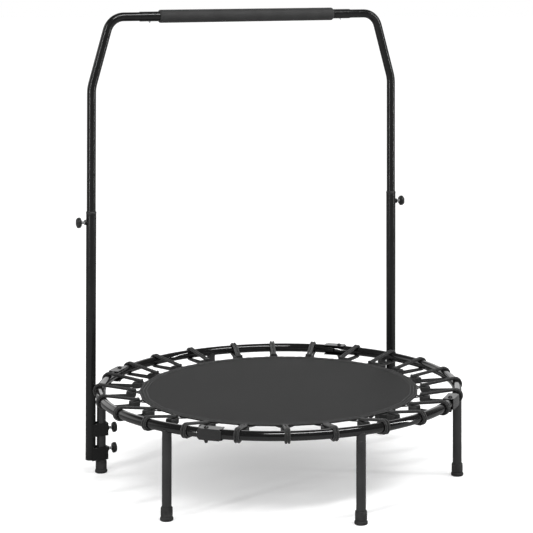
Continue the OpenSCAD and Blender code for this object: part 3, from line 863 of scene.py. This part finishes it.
def bungee_cord(index, angle):
    """Two strands of braided elastic cord side by side over the rim."""
    place = sector_matrix(angle)
    shells = Shells()
    shift = rim_shift(index)
    for side in (-1, 1):
        path = [place @ p for p in strand_path(side, shift)]
        sweep(shells, path, CORD_R * 0.995, count=16)
    return shells.piece(f"bungee_cord_{index:02d}", [materials["cord"]])


def blend_to_mat(piece):
    """Bakes a piece's placement into its mesh."""
    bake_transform(piece)


def build_mat_and_cords():
    """The mat and what holds it, in place of the CAD's own nodes."""
    centre = mat_centre()
    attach(centre, "mat")
    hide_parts("mat_bed")
    for index, angle in enumerate(SECTOR_ANGLES):
        for make, nodes, slot_name in (
            (mat_edge_panel, ("mat_bed", "mat_border"), "mat_fabric"),
            (mat_strap, ("mat_straps",), "webbing"),
            (bungee_hook, ("bungee_hooks",), "hook_plastic"),
            (bungee_cord, ("bungee_cords",), "elastic_cord"),
        ):
            piece = make(index, angle)
            blend_to_mat(piece)
            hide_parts(*nodes)


# ---------- Foam grip ----------

def foam_grip():
    """The foam sleeve on the crossbar, slightly uneven, with a moulding seam along its underside."""
    low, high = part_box("foam_grip")
    bar_low, bar_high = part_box("crossbar")
    bore = (bar_high.z - bar_low.z) / 2 + 0.08 * MM
    outer = (high.z - low.z) / 2 - 0.1 * MM
    half = (high.x - low.x) / 2
    centre = (low + high) / 2
    edge = 5 * MM
    unevenness = 0.22 * MM
    seam_depth = 0.5 * MM
    seam_angle = TAU * 0.80
    end_steps = 6
    steps = 70
    xs = [-half + edge * (1 - math.cos(TAU / 4 * k / end_steps)) for k in range(end_steps + 1)]
    xs += [-half + edge + (2 * half - 2 * edge) * k / steps for k in range(1, steps)]
    xs += [-x for x in xs[end_steps::-1]]
    shells = Shells()
    count = 56
    rings = []
    for j in range(count):
        a = TAU * j / count
        ring = []
        for x in xs:
            end = max(0.0, edge - (half - abs(x)))
            radius = outer - edge + math.sqrt(max(0.0, edge ** 2 - end ** 2))
            spot = Vector((x * 30, math.cos(a) * 0.8, math.sin(a) * 0.8))
            radius -= unevenness * (0.5 + 0.5 * noise.noise(spot))
            radius -= seam_depth * math.exp(-((a - seam_angle) / 0.035) ** 2)
            ring.append(Vector((x, radius * math.cos(a), radius * math.sin(a))) + centre)
        ring += [Vector((x, bore * math.cos(a), bore * math.sin(a))) + centre for x in (half, -half)]
        rings.append(ring)
    shells.loft(rings, loop=True)
    grip = shells.piece("grip_foam", [materials["foam"]], sharp_angle=50)
    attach(grip, "handle")
    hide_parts("foam_grip")


# ---------- Snap springs ----------

def snap_spring(side, sign):
    """A folded leaf spring inside the side tube."""
    low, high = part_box(f"snap_spring_{side}")
    inner = low.x if sign > 0 else high.x
    length = high.x - low.x
    leaf = 0.6 * MM
    bend_r = 1.7 * MM
    bend_x = length - bend_r - leaf
    bottom = low.z + leaf / 2
    top = high.z - leaf / 2

    def at(x, z):
        return Vector((inner + sign * x, (low.y + high.y) / 2, z))

    tail = 0.4 * MM
    free_end = 2.4 * MM
    leaf_w = 6.6 * MM
    path = [at(tail + (bend_x - tail) * k / 8, bottom) for k in range(8)]
    for k in range(9):
        a = math.pi * (k / 8 - 0.5)
        path.append(at(bend_x + bend_r * math.cos(a), bottom + bend_r * (1 + math.sin(a))))
    for k in range(1, 13):
        x = bend_x + (free_end - bend_x) * k / 12
        path.append(at(x, bottom + 2 * bend_r + (top - bottom - 2 * bend_r) * k / 12))
    shells = Shells()
    ribbon(shells, path, [leaf_w] * len(path), leaf, Vector((0, 1, 0)))
    spring = shells.piece(f"snap_leaf_{side}", [materials["zinc"]])
    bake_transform(spring)
    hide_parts(f"snap_spring_{side}")


# ---------- Rubber feet ----------

def rubber_foot(name):
    """A flared foot with a fluted base, a grooved neck and three rings round its sleeve."""
    low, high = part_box(f"foot_{name}")
    centre = (low + high) / 2
    height = high.z - low.z
    base_r = (high.x - low.x) / 2
    bore = 12.6 * MM
    sleeve = 15.5 * MM
    floor = 3 * MM
    groove = 0.7 * MM
    profile = [(0, 0), (base_r - 6 * MM, 0), (base_r - 6.8 * MM, 0.8 * MM), (base_r - 4.6 * MM, 0.8 * MM),
               (base_r - 4 * MM, 0), (base_r - 1.6 * MM, 0), (base_r, 1.6 * MM), (base_r, 6.6 * MM),
               (sleeve + 0.6 * MM, 8.4 * MM), (sleeve - groove, 9.4 * MM), (sleeve - groove, 11.4 * MM),
               (sleeve, 12.2 * MM)]
    for z in (17 * MM, 21.2 * MM, 25.4 * MM):
        profile += [(sleeve, z), (sleeve - 0.5 * MM, z + 0.6 * MM), (sleeve, z + 1.2 * MM)]
    profile += [(sleeve - 0.4 * MM, height - 1.6 * MM), (sleeve - 1.4 * MM, height), (bore, height),
                (bore, floor), (0, floor)]

    flutes = 30
    flute_depth = 0.25 * MM
    base_top = 7.5 * MM

    def flute(r, z, a):
        in_base = r > sleeve and z < base_top
        return r - (flute_depth * (0.5 + 0.5 * math.cos(flutes * a)) if in_base else 0)

    shells = Shells()
    place = Matrix.Translation((centre.x, centre.y, low.z))
    lathe(shells, rounded(profile, 0.5 * MM, 3), place, count=120, wobble=flute)
    foot = shells.piece(f"rubber_foot_{name}", [materials["rubber"]])
    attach(foot, "back_leg" if name == "back" else f"{name}_leg")
    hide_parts(f"foot_{name}")


# ---------- Knobs ----------

def knob_ring(place, z, radius, lobe, count=72):
    """A six-lobed section of a knob; no lobe gives a circle."""
    ring = []
    for j in range(count):
        a = TAU * j / count
        wave = 0.5 + 0.5 * math.cos(6 * a)
        r = radius - lobe * (1 - wave) ** 1.4
        ring.append(place @ Vector((r * math.cos(a), r * math.sin(a), z)))
    return ring


def knob(node, body, outwards):
    """A moulded lobed knob on its screw, with a tapered hub and a dished face."""
    low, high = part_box(node)
    centre = (low + high) / 2
    depth = high.x - low.x
    radius = (high.z - low.z) / 2
    lobe = 1.3 * MM
    screw_r = 4.0 * MM
    screw_depth = 10 * MM
    start = Vector((low.x if outwards > 0 else high.x, centre.y, centre.z))
    turn = Matrix.Rotation(outwards * math.pi / 2, 4, "Y")
    place = Matrix.Translation(start) @ turn
    hub = 2.6 * MM
    sections = [
        (screw_depth, screw_r * 0.98, 0), (0.0, screw_r, 0), (0.0, 5.2 * MM, 0), (0.5 * MM, 5.9 * MM, 0),
        (hub * 0.5, 7.0 * MM, 0), (hub * 0.85, 8.6 * MM, 0), (hub, radius - 5.0 * MM, lobe * 0.4),
        (hub + 0.3 * MM, radius - 1.8 * MM, lobe * 0.8), (hub + 1.2 * MM, radius - 0.5 * MM, lobe),
        (hub + 2.4 * MM, radius, lobe), (depth - 3.2 * MM, radius, lobe),
        (depth - 1.7 * MM, radius - 0.6 * MM, lobe), (depth - 0.7 * MM, radius - 2.0 * MM, lobe * 0.8),
        (depth - 0.4 * MM, radius - 4.0 * MM, lobe * 0.4), (depth - 0.6 * MM, radius - 5.6 * MM, 0),
        (depth - 1.2 * MM, radius - 6.4 * MM, 0), (depth - 1.2 * MM, 5.0 * MM, 0),
        (depth - 0.5 * MM, 4.2 * MM, 0), (depth - 0.2 * MM, 2.2 * MM, 0), (depth - 0.1 * MM, 0.02 * MM, 0),
    ]
    shells = Shells()
    shells.loft([knob_ring(place, z, r, k) for z, r, k in sections])
    made = shells.piece(f"{node}_grip", [materials["knob"]], sharp_angle=50)
    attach(made, body)
    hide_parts(node)


def build_knobs():
    """Height knobs face outwards and clamp knobs inwards."""
    for side, sign in SIDE_SIGNS.items():
        knob(f"height_knob_{side}", f"{side}_height_knob", sign)
        for level in LEVELS:
            knob(f"clamp_knob_{level}_{side}", f"{side}_{level}_clamp_knob", -sign)


# ---------- Weld beads ----------

def ripple(i):
    """Uneven thickness of a weld bead laid in short steps."""
    return 0.86 + 0.14 * math.cos(i * 1.9) + 0.05 * math.sin(i * 0.7)


def weld(name, paths, radius, look):
    """Beads along paths; each path is its points and whether it closes on itself."""
    shells = Shells()
    for points, closed in paths:
        sweep(shells, points, radius, count=8, loop=closed, scale=ripple)
    bead = shells.piece(name, [materials[look]], sharp_angle=80)
    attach(bead, "frame")


def socket_weld(name):
    """The bead where a leg socket meets the underside of the rim tube."""
    leg_centre = middle(f"leg_{name}")
    angle = math.atan2(leg_centre.y, leg_centre.x)
    place = sector_matrix(angle)
    socket_r = TUBE_R - 0.3 * MM
    count = 60
    points = []
    for k in range(count):
        t = TAU * k / count
        across = socket_r * math.cos(t)
        z = RIM_Z - math.sqrt(max(0.0, (TUBE_R + 0.2 * MM) ** 2 - across ** 2))
        z = min(z, RIM_Z - 4.6 * MM)
        points.append(place @ Vector((RIM_R + across * 1.03, socket_r * 1.03 * math.sin(t), z)))
    return points, True


def boss_weld(side, sign):
    """The bead round the screw boss on a post."""
    post = middle(f"post_cap_{side}")
    screw = middle(f"height_screw_{side}")
    post_r = 14 * MM
    bead_r = 1.04 * 7 * MM      # a little wider than the boss
    count = 40
    points = []
    for k in range(count):
        t = TAU * k / count
        y = bead_r * math.cos(t)
        x = math.sqrt(post_r ** 2 - y ** 2) + 0.1 * MM
        points.append(Vector((post.x + sign * x, post.y + y, screw.z + bead_r * math.sin(t))))
    return points, True


def clamp_welds(side, sign, level):
    """Two upright beads where a leg clamp's open edges meet its post."""
    post = middle(f"post_cap_{side}")
    low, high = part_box(f"clamp_{level}_{side}")
    end_gap = 1.5 * MM
    steps = 16
    paths = []
    for edge in (low.y, high.y):
        away = 1 if edge > post.y else -1
        points = []
        for k in range(steps + 1):
            z = low.z + end_gap + (high.z - low.z - 2 * end_gap) * k / steps
            points.append(Vector((post.x + sign * 0.5 * MM, edge - away * 0.4 * MM, z)))
        paths.append((points, False))
    return paths


def build_welds():
    """All the beads, one piece for each kind of joint."""
    weld("weld_sockets", [socket_weld(name) for name in LEG_NAMES], 1.15 * MM, "leg")
    weld("weld_bosses", [boss_weld(*side) for side in SIDE_SIGNS.items()], 0.9 * MM, "handle")
    paths = []
    for side, sign in SIDE_SIGNS.items():
        for level in LEVELS:
            paths += clamp_welds(side, sign, level)
    weld("weld_clamps", paths, 1.1 * MM, "handle")


# ---------- Floor, light and camera ----------

def floor():
    """A pale floor that stays darker in reflections."""
    bpy.ops.mesh.primitive_circle_add(vertices=96, radius=40, fill_type="NGON")
    ground = bpy.context.object
    ground.name = "floor"
    g = Surface("pale_floor")
    mirrored = g.add("ShaderNodeLightPath").outputs["Is Glossy Ray"]
    g.finish(g.blend(mirrored, grey(0.80), grey(0.24)), 1.0, Specular_IOR_Level=0.0,
             Emission_Color=(1, 1, 1, 1), Emission_Strength=g.span(mirrored, 0.0, 1.0, 0.28, 0.0))
    ground.data.materials.append(g.material)


def soft_light(name, place, aim, width, height, power):
    """A rectangular light at a place, aimed at another."""
    data = bpy.data.lights.new(name, "AREA")
    data.energy = power
    data.shape = "RECTANGLE"
    data.size = width
    data.size_y = height
    lamp = bpy.data.objects.new(name, data)
    lamp.location = place
    lamp.rotation_euler = (Vector(aim) - Vector(place)).to_track_quat("-Z", "Y").to_euler()
    bpy.context.scene.collection.objects.link(lamp)


def light_room():
    """The world and the three lights."""
    world = bpy.data.worlds.new("white_room")
    bpy.context.scene.world = world
    world.use_nodes = True
    # Seen in a glossy surface the room is dim, with a bright wall low down behind the handle;
    # everything else sees it white.
    g = Graph(world.node_tree, "Generated")
    _, y, z = g.split()
    wall = g.math("MULTIPLY", g.span(y, 0.1, 0.6), g.span(z, 0.04, 0.12))
    wall = g.math("MULTIPLY", wall, g.span(z, 0.42, 0.62, 1.0, 0.0))
    mirrored = g.add("ShaderNodeLightPath").outputs["Is Glossy Ray"]
    room = g.tree.nodes["Background"]
    room.inputs["Color"].default_value = (1, 1, 1, 1)
    wall_level = 0.9
    dim_level = 0.08
    glossy = g.math("MULTIPLY_ADD", wall, wall_level, dim_level)
    g.feed(room.inputs["Strength"], g.math("MULTIPLY_ADD", mirrored, g.math("SUBTRACT", glossy, 1.0), 1.0))
    soft_light("overhead_box", (0.2, -1.4, 3.4), aim=(0, 0, 0.2), width=2.6, height=0.35, power=60)
    soft_light("left_strip", (-3.4, -1.2, 1.6), aim=(0, 0, 0.6), width=0.14, height=3.0, power=45)
    soft_light("right_strip", (3.0, -2.0, 1.6), aim=(0, 0, 0.6), width=0.14, height=3.0, power=40)


def photo_camera():
    """A level view camera from the front left, its frame shifted to hold the whole object."""
    data = bpy.data.cameras.new("camera")
    camera = bpy.data.objects.new("camera", data)
    bpy.context.scene.collection.objects.link(camera)
    bpy.context.scene.camera = camera
    camera.location = (-2.0153, -4.3672, 1.4187)
    heading = math.radians(-26.69)
    tilt = math.radians(0.901)
    roll = math.radians(0.027)
    camera.rotation_euler = (Matrix.Rotation(heading, 3, "Z") @ Matrix.Rotation(math.pi / 2 + tilt, 3, "X")
                             @ Matrix.Rotation(roll, 3, "Z")).to_euler()
    data.sensor_width = 36
    data.lens = 115.91
    # The shift belongs to this one place: a camera moved to another height looks straight at its aim.
    near = 0.015
    for axis, offset in (("shift_x", -0.1323), ("shift_y", -0.6200)):
        curve = data.driver_add(axis)
        curve.driver.type = "AVERAGE"
        height = curve.driver.variables.new()
        height.type = "TRANSFORMS"
        height.targets[0].id = camera
        height.targets[0].transform_type = "LOC_Z"
        height.targets[0].transform_space = "WORLD_SPACE"
        while curve.modifiers:
            curve.modifiers.remove(curve.modifiers[0])
        for away, share in ((-near, 0), (0, 1), (near, 0)):
            key = curve.keyframe_points.insert(camera.location.z + away, offset * share)
            key.interpolation = "LINEAR"


dress_cad_nodes()
build_mat_and_cords()
foam_grip()
for leg_name in LEG_NAMES:
    rubber_foot(leg_name)
for leaf_side, leaf_sign in SIDE_SIGNS.items():
    snap_spring(leaf_side, leaf_sign)
build_knobs()
build_welds()
floor()
light_room()
photo_camera()
bpy.context.scene.view_settings.view_transform = "Standard"
